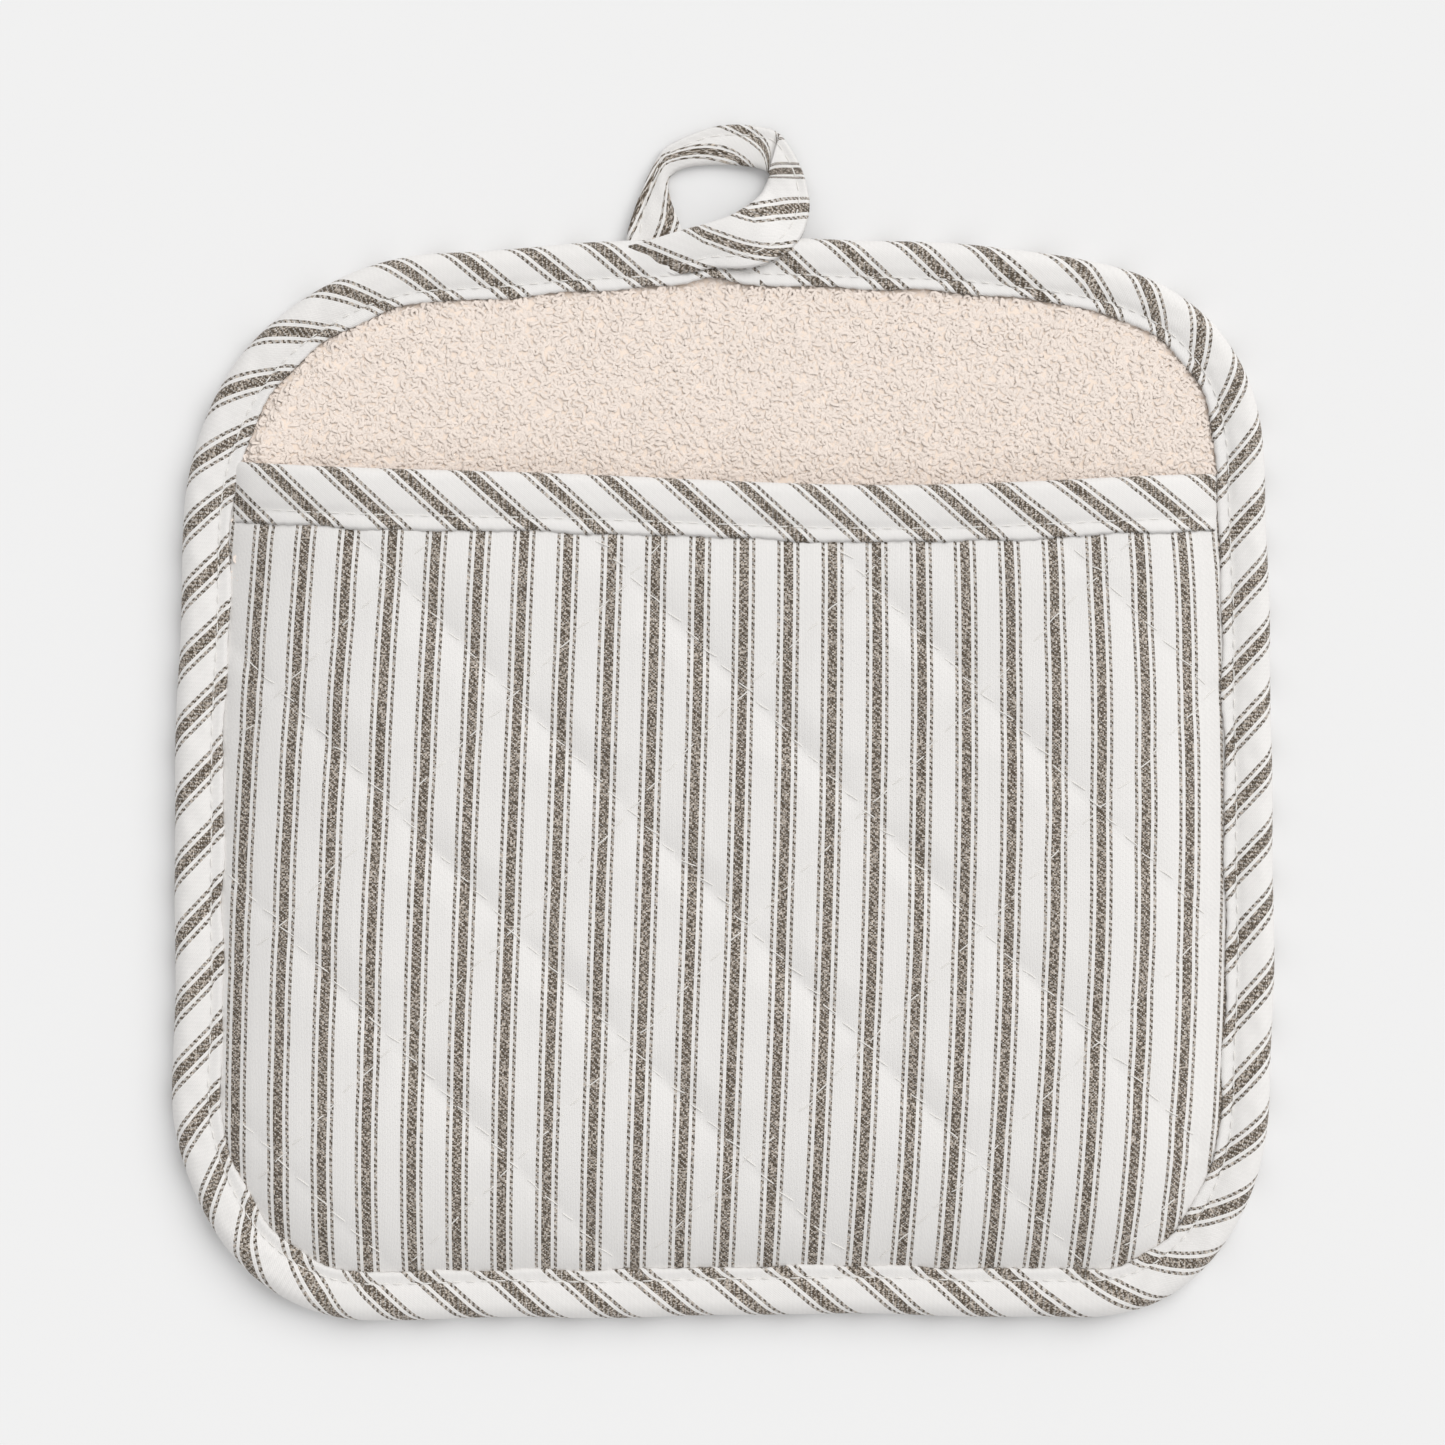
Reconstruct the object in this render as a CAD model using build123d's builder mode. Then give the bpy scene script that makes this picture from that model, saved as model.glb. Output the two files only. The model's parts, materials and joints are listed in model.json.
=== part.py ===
"""Pocket oven mitt: a quilted square pad with a terry face, a hand pocket and a hanging loop.

The mitt lies flat with its ticking back down. The origin is the middle of the square panel on the
surface it lies on, +X runs along its width, +Y towards the hanging loop and +Z out of the pocket.
All lengths are in millimetres.
"""

from build123d import *

import os

# Panel outline, with slightly bulged sides
PANEL_WIDTH = 215.0
PANEL_HEIGHT = 211.0
TOP_CORNER_WIDTH = 208.0
BOTTOM_CORNER_WIDTH = 213.0
TOP_ARCH = 3.0
BOTTOM_ARCH = 2.0
TOP_RADIUS = 39.0
BOTTOM_RADIUS = 31.0

# Edge binding, a folded tape that wraps the panel's edge
BINDING_HEIGHT = 6.4
BINDING_REACH = 9.2
TAPE = 0.9
PANEL_EDGE_INSET = 2.6

# Threads
STITCH_WIDTH = 0.5
STITCH_HEIGHT = 0.35
STITCH_SINK = 0.3
EDGE_STITCH_INSET = 6.9
QUILT_SPACING = 32.4
QUILT_ANGLE = 45.0
QUILT_LINES = 5

# Back panel: heights of the surfaces between its layers, in the flat middle and inside the binding
FLAT_INSET = 20.0
TICKING = 0.7
BACK_BATTING_TOP = 4.6
TERRY_TOP = 7.0

# Pocket: its layers from the lining up, over a gap for the hand
POCKET_GAP = 0.6
POCKET_FLAT_INSET = 28.0
POCKET_UNDERSIDE = 12.4
POCKET_EDGE = 7.0
LINING = 0.4
POCKET_BATTING = 2.4
POCKET_TICKING = 0.6
EDGE_LINING = 0.3
EDGE_BATTING = 0.8
EDGE_TICKING = 0.5

# Pocket mouth
MOUTH_LEFT = 62.0
MOUTH_MIDDLE = 58.0
MOUTH_RIGHT = 61.0
MOUTH_LIP = 1.2
MOUTH_REACH = 10.5
MOUTH_LEG_UNDER = 0.6
MOUTH_LEG_OVER = 0.8
MOUTH_STITCH_RISE = 2.2

# Hanging loop, a bent tape whose legs end on its hinge line
LOOP_TOP = 130.6
LOOP_LEFT = -18.6
LOOP_RIGHT = 16.8
LOOP_TAPE_WIDTH = 8.0
LOOP_THICKNESS = 2.2
LOOP_TOP_RADIUS = 15.5
LOOP_CLEARANCE = 0.7
LOOP_STITCH_INSET = 1.8

HIGH = 40.0


def panel_outline(inset):
    """The panel's outline, moved in by a distance."""
    half_top = TOP_CORNER_WIDTH / 2
    half_bottom = BOTTOM_CORNER_WIDTH / 2
    top = PANEL_HEIGHT / 2 - TOP_ARCH
    bottom = BOTTOM_ARCH - PANEL_HEIGHT / 2
    with BuildSketch() as sketch:
        with BuildLine():
            ThreePointArc((-half_top, top), (0, PANEL_HEIGHT / 2), (half_top, top))
            ThreePointArc((half_top, top), (PANEL_WIDTH / 2, -TOP_RADIUS / 2), (half_bottom, bottom))
            ThreePointArc((half_bottom, bottom), (0, -PANEL_HEIGHT / 2), (-half_bottom, bottom))
            ThreePointArc((-half_bottom, bottom), (-PANEL_WIDTH / 2, -TOP_RADIUS / 2), (-half_top, top))
        make_face()
        fillet(sketch.vertices().group_by(Axis.Y)[-1], TOP_RADIUS)
        fillet(sketch.vertices().group_by(Axis.Y)[0], BOTTOM_RADIUS)
        if inset:
            offset(amount=-inset)
    return sketch.sketch


EDGE_PATH = panel_outline(0).face().outer_wire()
EDGE_START = EDGE_PATH @ 0
EDGE_INWARD = (Vector(0, 0, 1).cross(EDGE_PATH % 0)).normalized()
if EDGE_INWARD.dot(EDGE_START) > 0:
    EDGE_INWARD = -EDGE_INWARD
EDGE_PLANE = Plane(EDGE_START, x_dir=EDGE_INWARD, z_dir=EDGE_INWARD.cross(Vector(0, 0, 1)))


def edge_band(points):
    """A closed section of (inset, height) points, carried once round the panel's edge."""
    with BuildPart() as band:
        with BuildSketch(EDGE_PLANE):
            with BuildLine():
                Polyline(*points, close=True)
            make_face()
        sweep(path=EDGE_PATH)
    return band.part


def cloth_layer(lower, upper):
    """The solid between two surfaces, each given as (inset, height) steps in to the flat middle."""
    edge = edge_band([*lower, *reversed(upper)])
    flat_inset, flat_height = lower[-1]
    with BuildPart() as layer:
        add(edge)
        with BuildSketch(Plane.XY.offset(flat_height)):
            add(panel_outline(flat_inset))
        extrude(amount=upper[-1][1] - flat_height)
    return layer.part


def raised(surface, rise):
    """The same surface, higher by a distance."""
    return [(inset, height + rise) for inset, height in surface]


def pocket_reach(shift):
    """A tall block over the part of the panel below the mouth line, moved up by a distance."""
    half = PANEL_WIDTH / 2
    left = (-half, MOUTH_LEFT + shift)
    right = (half, MOUTH_RIGHT + shift)
    with BuildPart() as block:
        with BuildSketch():
            with BuildLine():
                ThreePointArc(left, (0, MOUTH_MIDDLE + shift), right)
                Polyline(right, (half, -PANEL_HEIGHT), (-half, -PANEL_HEIGHT), left)
            make_face()
        extrude(amount=HIGH)
    return block.part


def quilting_walls(region, shift):
    """Tall thin walls along the two sets of quilting lines, inside a region."""
    step = QUILT_SPACING
    with BuildPart() as walls:
        with BuildSketch():
            for lean in (QUILT_ANGLE, -QUILT_ANGLE):
                for line in range(-QUILT_LINES, QUILT_LINES + 1):
                    across = Vector(0, line * step + shift, 0).rotate(Axis.Z, lean)
                    with Locations(across):
                        Rectangle(2 * PANEL_WIDTH, STITCH_WIDTH, rotation=lean)
            add(region, mode=Mode.INTERSECT)
        extrude(amount=HIGH)
    return walls.part


# Surfaces of the back panel, from its underside up
back_underside = [(PANEL_EDGE_INSET, TAPE), (9.6, TAPE), (12.6, 0.0), (FLAT_INSET, 0.0)]
back_ticking_top = [(PANEL_EDGE_INSET, 1.5), (9.6, 1.5), (12.6, TICKING), (FLAT_INSET, TICKING)]
back_batting_top = [
    (PANEL_EDGE_INSET, 3.5),
    (9.6, 3.5),
    (14.0, BACK_BATTING_TOP),
    (FLAT_INSET, BACK_BATTING_TOP),
]
terry_top = [(PANEL_EDGE_INSET, 5.5), (9.4, 5.5), (13.0, TERRY_TOP), (FLAT_INSET, TERRY_TOP)]

# Surfaces of the pocket, from its underside up
pocket_start = BINDING_REACH + POCKET_GAP
pocket_underside = [
    (pocket_start, POCKET_EDGE),
    (13.0, POCKET_EDGE + 1.5),
    (POCKET_FLAT_INSET, POCKET_UNDERSIDE),
]


def pocket_surface(edge_rise, middle_rise):
    """A surface of the pocket, higher than its underside by one distance at the edge, then another."""
    edge, shoulder, middle = pocket_underside
    return [
        (edge[0], edge[1] + edge_rise),
        (shoulder[0], shoulder[1] + (edge_rise + middle_rise) / 2),
        (middle[0], middle[1] + middle_rise),
    ]


pocket_lining_top = pocket_surface(EDGE_LINING, LINING)
pocket_batting_top = pocket_surface(EDGE_LINING + EDGE_BATTING, LINING + POCKET_BATTING)
pocket_top = pocket_surface(
    EDGE_LINING + EDGE_BATTING + EDGE_TICKING,
    LINING + POCKET_BATTING + POCKET_TICKING,
)

# Edge binding: a U of tape, open inwards
binding_band = edge_band(
    [
        (BINDING_REACH, 0),
        (2.4, 0),
        (0.6, 1.2),
        (0, BINDING_HEIGHT / 2),
        (0.6, BINDING_HEIGHT - 1.2),
        (2.4, BINDING_HEIGHT),
        (BINDING_REACH, BINDING_HEIGHT),
        (BINDING_REACH, BINDING_HEIGHT - TAPE),
        (2.4, BINDING_HEIGHT - TAPE),
        (1.1, BINDING_HEIGHT / 2),
        (2.4, TAPE),
        (BINDING_REACH, TAPE),
    ]
)
stitch_end = EDGE_STITCH_INSET + STITCH_WIDTH
bobbin_band = edge_band(
    [(EDGE_STITCH_INSET, 0), (EDGE_STITCH_INSET, STITCH_SINK), (stitch_end, STITCH_SINK), (stitch_end, 0)]
)
needle_band = edge_band([(inset, BINDING_HEIGHT + rise) for inset, rise in (
    (EDGE_STITCH_INSET, 0),
    (EDGE_STITCH_INSET, STITCH_HEIGHT),
    (stitch_end, STITCH_HEIGHT),
    (stitch_end, 0),
)])

with BuildPart() as edge_binding:
    add(binding_band)
    add(bobbin_band, mode=Mode.SUBTRACT)

with BuildPart() as edge_topstitch:
    add(needle_band)

with BuildPart() as edge_topstitch_bobbin:
    add(bobbin_band)

# Back panel, from the ticking up
back_quilt_walls = quilting_walls(panel_outline(13.5), QUILT_SPACING / 2)

with BuildPart() as back_quilting_thread:
    add(back_quilt_walls)
    Box(2 * PANEL_WIDTH, 2 * PANEL_HEIGHT, 2 * STITCH_SINK, mode=Mode.INTERSECT)

with BuildPart() as back_ticking:
    add(cloth_layer(back_underside, back_ticking_top))
    add(back_quilting_thread.part, mode=Mode.SUBTRACT)

back_bobbin_layer = cloth_layer(raised(back_batting_top, -STITCH_SINK), back_batting_top)

with BuildPart() as back_quilting_bobbin:
    add(back_quilt_walls)
    add(back_bobbin_layer, mode=Mode.INTERSECT)

with BuildPart() as back_batting:
    add(cloth_layer(back_ticking_top, back_batting_top))
    add(back_quilting_bobbin.part, mode=Mode.SUBTRACT)

with BuildPart() as terry_panel:
    add(cloth_layer(back_batting_top, terry_top))

# Pocket, from the lining up
below_mouth = pocket_reach(0)
pocket_quilt_walls = quilting_walls(panel_outline(13.5), 0)
below_mouth_tape = pocket_reach(-MOUTH_REACH - STITCH_WIDTH)

with BuildPart() as pocket_lining:
    add(cloth_layer(pocket_underside, pocket_lining_top))
    add(below_mouth, mode=Mode.INTERSECT)

with BuildPart() as pocket_batting:
    add(cloth_layer(pocket_lining_top, pocket_batting_top))
    add(below_mouth, mode=Mode.INTERSECT)

with BuildPart() as pocket_ticking:
    add(cloth_layer(pocket_batting_top, pocket_top))
    add(below_mouth, mode=Mode.INTERSECT)

with BuildPart() as pocket_quilting_thread:
    add(cloth_layer(pocket_top, raised(pocket_top, STITCH_HEIGHT)))
    add(pocket_quilt_walls, mode=Mode.INTERSECT)
    add(below_mouth_tape, mode=Mode.INTERSECT)

with BuildPart() as pocket_quilting_bobbin:
    add(cloth_layer(raised(pocket_underside, -STITCH_HEIGHT), pocket_underside))
    add(pocket_quilt_walls, mode=Mode.INTERSECT)
    add(below_mouth_tape, mode=Mode.INTERSECT)

# Pocket mouth binding: a U of tape over the pocket's upper edge
mouth_tape_top = raised(pocket_top, MOUTH_LEG_OVER)
mouth_tape_underside = raised(pocket_underside, -MOUTH_LEG_UNDER)

with BuildPart() as pocket_core:
    add(cloth_layer(pocket_underside, pocket_top))
    add(below_mouth, mode=Mode.INTERSECT)

with BuildPart() as pocket_binding:
    add(cloth_layer(mouth_tape_underside, mouth_tape_top))
    add(pocket_reach(MOUTH_LIP), mode=Mode.INTERSECT)
    add(pocket_reach(-MOUTH_REACH), mode=Mode.SUBTRACT)
    add(pocket_core.part, mode=Mode.SUBTRACT)

stitch_line = MOUTH_STITCH_RISE - MOUTH_REACH

with BuildPart() as mouth_topstitch:
    add(cloth_layer(mouth_tape_top, raised(mouth_tape_top, STITCH_HEIGHT)))
    add(pocket_reach(stitch_line + STITCH_WIDTH), mode=Mode.INTERSECT)
    add(pocket_reach(stitch_line), mode=Mode.SUBTRACT)

with BuildPart() as mouth_topstitch_bobbin:
    add(cloth_layer(raised(mouth_tape_underside, -STITCH_HEIGHT), mouth_tape_underside))
    add(pocket_reach(stitch_line + STITCH_WIDTH), mode=Mode.INTERSECT)
    add(pocket_reach(stitch_line), mode=Mode.SUBTRACT)

# Hanging loop: a bent tape with rounded leg ends on the hinge line
hinge_y = PANEL_HEIGHT / 2 + LOOP_CLEARANCE + LOOP_THICKNESS / 2
hinge_z = BINDING_HEIGHT / 2
loop_middle = (LOOP_LEFT + LOOP_RIGHT) / 2
loop_width = LOOP_RIGHT - LOOP_LEFT
loop_top_plane = Plane.XY.offset(hinge_z + LOOP_THICKNESS / 2)


def loop_outline(inset):
    """The bent tape's outline, moved in by a distance, down past the hinge line."""
    height = LOOP_TOP - inset - hinge_y
    with BuildSketch() as sketch:
        with Locations((loop_middle, hinge_y + height / 2)):
            Rectangle(loop_width - 2 * inset, height)
        fillet(sketch.vertices().group_by(Axis.Y)[-1], LOOP_TOP_RADIUS - inset)
    return sketch.sketch


loop_shape = loop_outline(0) - loop_outline(LOOP_TAPE_WIDTH)
loop_stitch_shape = loop_outline(LOOP_STITCH_INSET) - loop_outline(LOOP_STITCH_INSET + STITCH_WIDTH)

with BuildPart() as hanging_loop:
    with BuildSketch(Plane.XY.offset(hinge_z)):
        add(loop_shape)
    extrude(amount=LOOP_THICKNESS / 2, both=True)
    for leg_x in (LOOP_LEFT + LOOP_TAPE_WIDTH / 2, LOOP_RIGHT - LOOP_TAPE_WIDTH / 2):
        with BuildSketch(Plane.YZ.offset(leg_x)):
            with Locations((hinge_y, hinge_z)):
                Circle(LOOP_THICKNESS / 2)
        extrude(amount=LOOP_TAPE_WIDTH / 2, both=True)

with BuildPart() as loop_edge_stitch:
    with BuildSketch(loop_top_plane):
        add(loop_stitch_shape)
    extrude(amount=STITCH_HEIGHT)

pieces = {
    "back_ticking": back_ticking,
    "back_batting": back_batting,
    "back_quilting_thread": back_quilting_thread,
    "back_quilting_bobbin": back_quilting_bobbin,
    "terry_panel": terry_panel,
    "edge_binding": edge_binding,
    "edge_topstitch": edge_topstitch,
    "edge_topstitch_bobbin": edge_topstitch_bobbin,
    "hanging_loop": hanging_loop,
    "loop_edge_stitch": loop_edge_stitch,
    "pocket_lining": pocket_lining,
    "pocket_batting": pocket_batting,
    "pocket_ticking": pocket_ticking,
    "pocket_quilting_thread": pocket_quilting_thread,
    "pocket_quilting_bobbin": pocket_quilting_bobbin,
    "pocket_binding": pocket_binding,
    "mouth_topstitch": mouth_topstitch,
    "mouth_topstitch_bobbin": mouth_topstitch_bobbin,
}

os.makedirs("parts", exist_ok=True)
for name, piece in pieces.items():
    piece.part.label = name
    export_step(piece.part, f"parts/{name}.step")
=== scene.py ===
"""The looks of the pocket oven mitt: quilted ticking, looped towelling, bias tape and stitching.

Lengths below are in millimetres, in the row's frame: the mitt lies on z = 0, +Y points at its
hanging loop. They become metres where a mesh is made.
"""

import json
import math

import bpy
import numpy as np
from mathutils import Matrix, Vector


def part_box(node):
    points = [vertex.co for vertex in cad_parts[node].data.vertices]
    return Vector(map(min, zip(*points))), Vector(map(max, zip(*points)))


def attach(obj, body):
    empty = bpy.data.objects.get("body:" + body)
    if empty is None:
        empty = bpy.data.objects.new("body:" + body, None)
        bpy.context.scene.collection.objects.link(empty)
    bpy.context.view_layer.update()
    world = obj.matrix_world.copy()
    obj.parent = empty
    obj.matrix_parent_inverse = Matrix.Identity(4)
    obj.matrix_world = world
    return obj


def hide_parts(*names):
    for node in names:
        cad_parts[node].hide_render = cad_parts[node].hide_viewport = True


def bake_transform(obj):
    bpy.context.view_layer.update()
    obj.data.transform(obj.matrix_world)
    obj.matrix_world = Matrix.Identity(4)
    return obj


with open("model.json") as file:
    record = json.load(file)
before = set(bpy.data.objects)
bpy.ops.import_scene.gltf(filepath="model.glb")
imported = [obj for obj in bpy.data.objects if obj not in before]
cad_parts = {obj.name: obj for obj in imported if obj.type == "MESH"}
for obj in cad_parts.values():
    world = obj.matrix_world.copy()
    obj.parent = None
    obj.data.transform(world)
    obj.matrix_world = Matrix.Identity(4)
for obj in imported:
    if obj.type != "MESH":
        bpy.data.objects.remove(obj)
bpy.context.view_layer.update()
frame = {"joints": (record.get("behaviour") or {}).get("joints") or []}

MM = 0.001
rng = np.random.default_rng(11)

# Cloth: its thickness, the stripe's repeat on the pocket and on the tapes, and its weave
CLOTH = 0.42
STRIPE_PERIOD = 8.7
TAPE_PERIOD = 8.75
WARPS_PER_STRIPE = 28
PICK = 0.28

# The tapes are cut on the bias: the stripes' angle to the tape, and their distance along it
BIAS = math.radians(43.5)
STRIPE_STEP = TAPE_PERIOD / math.sin(BIAS)

# Thread radius, and the stitches along the tapes and on the quilting lines
THREAD = 0.13
STITCH_PITCH = 2.9
STITCH_LENGTH = 2.5
STITCH_SINK = 0.3
QUILT_PITCH = 4.9
QUILT_STITCH = 4.0

# Edge tape: half the gap between its legs, its turned hems, the stitching along its inner edge,
# and how far its roll stands outside the outline
EDGE_LOW, EDGE_HIGH = (1000 * np.array(corner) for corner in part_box("edge_binding"))
TAPE_WIDTH = 9.2
TAPE_GAP = (EDGE_HIGH[2] - EDGE_LOW[2] - CLOTH) / 2
TAPE_MIDDLE = (EDGE_HIGH[2] + EDGE_LOW[2]) / 2
HEM = 5.0
HEM_DROP = 0.45
STITCH_IN = 2.2
TAPE_STITCH = TAPE_WIDTH - STITCH_IN
EDGE_OUT = 0.4

# Quilting lines: they run at 45 degrees through this point, this far apart along x, and the
# cloth between them puffs out no further than QUILT_PUFF
QUILT_X = -18.5
QUILT_Y = -4.6
QUILT_REPEAT = 45.6
QUILT_PUFF = 1.25

# Pocket: where it leaves its seam, and the levels of its two faces at the seam and in the middle
POCKET_SEAM_INSET = 6.8
POCKET_RISE_INSET = 8.9
POCKET_RISE_LENGTH = 12.0
POCKET_SEAM_TOP = 5.5
POCKET_TOP = 14.9
POCKET_SEAM_LINING = 5.0
POCKET_LINING = 12.1

# Mouth tape: its width, half the gap between its legs, its stitching, and half the mouth's length
MOUTH_TAPE_WIDTH = 11.6
MOUTH_GAP = 1.7
MOUTH_STITCH_IN = 2.7
MOUTH_STITCH = MOUTH_TAPE_WIDTH - MOUTH_STITCH_IN
MOUTH_ENDS = 99.0

# Back: its cloth is pressed flat on the table just above this level
BACK_FLOOR = 0.04
BACK_SEAM_INSET = 3.2

# Terry: levels of its ground cloth at the seam and inside it, and its loops
TERRY_SEAM = 4.6
TERRY_GROUND = 6.5
LOOPS_PER_MM2 = 1.7
LOOP_YARN = 0.34

# The pocket turns about this line, and the loop bends between these two
HINGE = next(j for j in frame["joints"] if j["name"] == "pocket_open")
HINGE_Y = 1000 * HINGE["pos_m"][1]
HINGE_REACH = 25.0
LOOP_ROOT = 105.5
LOOP_FREE = 115.0


def smooth(x, start, end):
    """0 before start, 1 after end, and a smooth step between."""
    t = np.clip((np.asarray(x, float) - start) / (end - start), 0, 1)
    return t * t * (3 - 2 * t)


def bell(x, width):
    """1 at zero, and falling away on both sides."""
    return np.exp(-((x / width) ** 2))


def arch(share):
    """An arch from 0 to 1 and back to 0, as share goes from 0 to 1."""
    return np.sin(math.pi * np.clip(share, 0, 1))


def beat(s, pitch):
    """A wave from 0 to 1 that is 1 at each whole pitch."""
    return 0.5 + 0.5 * np.cos(2 * math.pi * s / pitch)


def ripple(s, length, counts, seed):
    """Smooth noise along a closed length: sines that repeat a whole number of times, about 1 high."""
    phases = np.random.default_rng(seed).uniform(0, 2 * math.pi, len(counts))
    heights = np.random.default_rng(seed + 1).uniform(0.5, 1, len(counts))
    total = sum(
        h * np.sin(2 * math.pi * n * np.asarray(s, float) / length + p)
        for n, h, p in zip(counts, heights, phases)
    )
    return total / math.sqrt(len(counts) / 2) / 1.2


# ---- The panel's outline ----

# Corner curves of the outline, clockwise: start, direction, end, direction, fullness of the curve
CORNERS = [
    ((60.0, 105.0), -5, (106.4, 58.0), -89, 0.67),
    ((107.6, -58.0), -91, (68.0, -104.2), 178, 0.60),
    ((-70.0, -104.6), 180, (-107.9, -60.0), 90, 0.54),
    ((-105.5, 54.0), 87, (-55.0, 104.6), 5, 0.57),
]


def bezier(start, start_angle, end, end_angle, fullness, count):
    """Points along a curve between two points with given directions."""
    p0, p3 = np.array(start), np.array(end)
    reach = fullness * np.abs(p3 - p0).mean()
    a0, a3 = math.radians(start_angle), math.radians(end_angle)
    p1 = p0 + reach * np.array([math.cos(a0), math.sin(a0)])
    p2 = p3 - reach * np.array([math.cos(a3), math.sin(a3)])
    t = np.linspace(0, 1, count, endpoint=False)[:, None]
    return (1 - t) ** 3 * p0 + 3 * (1 - t) ** 2 * t * p1 + 3 * (1 - t) * t * t * p2 + t**3 * p3


def outline_curve():
    """Dense points round the panel, clockwise from the top edge near the loop."""
    parts = []
    for corner, following in zip(CORNERS, CORNERS[1:] + CORNERS[:1]):
        start, start_angle, end, end_angle, fullness = corner
        parts.append(bezier(start, start_angle, end, end_angle, fullness, 200))
        parts.append(bezier(end, end_angle, following[0], following[1], 0.66, 300))
    points = np.concatenate(parts)
    first = np.argmin(np.hypot(points[:, 0] - 7.0, points[:, 1] - 105.5))
    return np.roll(points, -first, axis=0)


OUTLINE = outline_curve()
OUTLINE_STEPS = np.hypot(*(np.roll(OUTLINE, -1, axis=0) - OUTLINE).T)
OUTLINE_S = np.concatenate([[0], np.cumsum(OUTLINE_STEPS)])
PERIMETER = OUTLINE_S[-1]


def outline_at(s):
    """Point and inward normal at a distance along the outline."""
    closed = np.concatenate([OUTLINE, OUTLINE[:1]])

    def point_at(distance):
        distance = np.mod(distance, PERIMETER)
        return np.stack([np.interp(distance, OUTLINE_S, closed[:, k]) for k in (0, 1)], axis=-1)

    point = point_at(s)
    run = point_at(s + 0.8) - point_at(s - 0.8)
    run /= np.linalg.norm(run, axis=-1, keepdims=True)
    return point, np.stack([run[..., 1], -run[..., 0]], axis=-1)


SAMPLES = outline_at(np.linspace(0, PERIMETER, 1400, endpoint=False))


def inset_of(x, y):
    """How far points are inside the outline, and the inward direction there."""
    x, y = np.ravel(x), np.ravel(y)
    nearest = np.empty(len(x), int)
    for start in range(0, len(x), 4000):
        part = slice(start, start + 4000)
        gap = (x[part, None] - SAMPLES[0][:, 0]) ** 2 + (y[part, None] - SAMPLES[0][:, 1]) ** 2
        nearest[part] = gap.argmin(axis=1)
    point, inward = SAMPLES[0][nearest], SAMPLES[1][nearest]
    away = np.stack([x, y], axis=-1) - point
    return (away * inward).sum(axis=1), inward


# ---- Heights of the cloth layers ----


def mouth_line(x):
    """Height of the pocket's mouth edge along y: it sags in the middle."""
    u = np.asarray(x, float) / 98
    return 59.4 + 2.6 * u**2 - 0.9 * u - 1.1 * u * np.abs(u) + 0.55 * u**4 - 0.7 * np.sin(98 * u / 21)


def rise(inset):
    """How far the pocket has risen from its seam, from 0 to 1."""
    out = np.clip(np.asarray(inset, float) - POCKET_RISE_INSET, 0, None)
    return 1 - np.exp(-((out / POCKET_RISE_LENGTH) ** 1.1))


def pocket_level(inset):
    return POCKET_SEAM_TOP + (POCKET_TOP - POCKET_SEAM_TOP) * rise(inset)


def lining_level(inset):
    return POCKET_SEAM_LINING + (POCKET_LINING - POCKET_SEAM_LINING) * rise(inset)


def terry_level(inset):
    return TERRY_SEAM + (TERRY_GROUND - TERRY_SEAM) * smooth(inset, 8.0, 13.0)


def back_level(inset):
    """Height of the back ticking's quilting lines, above the tape's lower leg near the edge."""
    return 1.35 - 0.5 * smooth(inset, 9.6, 14.0)


def quilt_distances(x, y):
    """For both sets of quilting lines: distance to the nearest line, and distance along it."""
    found = []
    for sign in (1, -1):
        across = (x - QUILT_X) - sign * (y - QUILT_Y)
        across = np.mod(across + QUILT_REPEAT / 2, QUILT_REPEAT) - QUILT_REPEAT / 2
        along = (x - QUILT_X) + sign * (y - QUILT_Y)
        found.append((np.abs(across) / math.sqrt(2), along / math.sqrt(2)))
    return found


# ---- Mesh helpers ----


def add_object(name, data):
    thing = bpy.data.objects.new(name, data)
    bpy.context.scene.collection.objects.link(thing)
    return thing


def make_mesh(name, points, faces, material, uv=None, caps=None):
    """An object from points and faces, with cloth coordinates for the faces; all in millimetres.

    caps are further faces with another number of corners.
    """
    mesh = bpy.data.meshes.new(name)
    groups = [np.asarray(faces)] if caps is None else [faces, caps]
    corners = np.concatenate([group.ravel() for group in groups]).astype(np.int32)
    sizes = np.concatenate([np.full(len(group), group.shape[1]) for group in groups])
    mesh.vertices.add(len(points))
    mesh.vertices.foreach_set("co", (np.asarray(points) * MM).astype(np.float32).ravel())
    mesh.loops.add(len(corners))
    mesh.loops.foreach_set("vertex_index", corners)
    mesh.polygons.add(len(sizes))
    mesh.polygons.foreach_set("loop_start", (np.cumsum(sizes) - sizes).astype(np.int32))
    mesh.polygons.foreach_set("use_smooth", np.ones(len(sizes), bool))
    if uv is not None:
        cloth = np.zeros((len(corners), 2), np.float32)
        cloth[: len(uv)] = uv * MM
        mesh.uv_layers.new(name="cloth").uv.foreach_set("vector", cloth.ravel())
    mesh.update(calc_edges=True)
    mesh.validate()
    mesh.materials.append(material)
    return add_object(name, mesh)


def ring_faces(rows, columns, close_rows, close_columns):
    """Quads of a rows by columns lattice of points, closed round either way."""
    r = np.arange(rows if close_rows else rows - 1)
    c = np.arange(columns if close_columns else columns - 1)
    r, c = np.meshgrid(r, c, indexing="ij")
    r1, c1 = (r + 1) % rows, (c + 1) % columns
    corners = np.stack([r * columns + c, r1 * columns + c, r1 * columns + c1, r * columns + c1], -1)
    return corners.reshape(-1, 4), r.ravel(), c.ravel()


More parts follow.
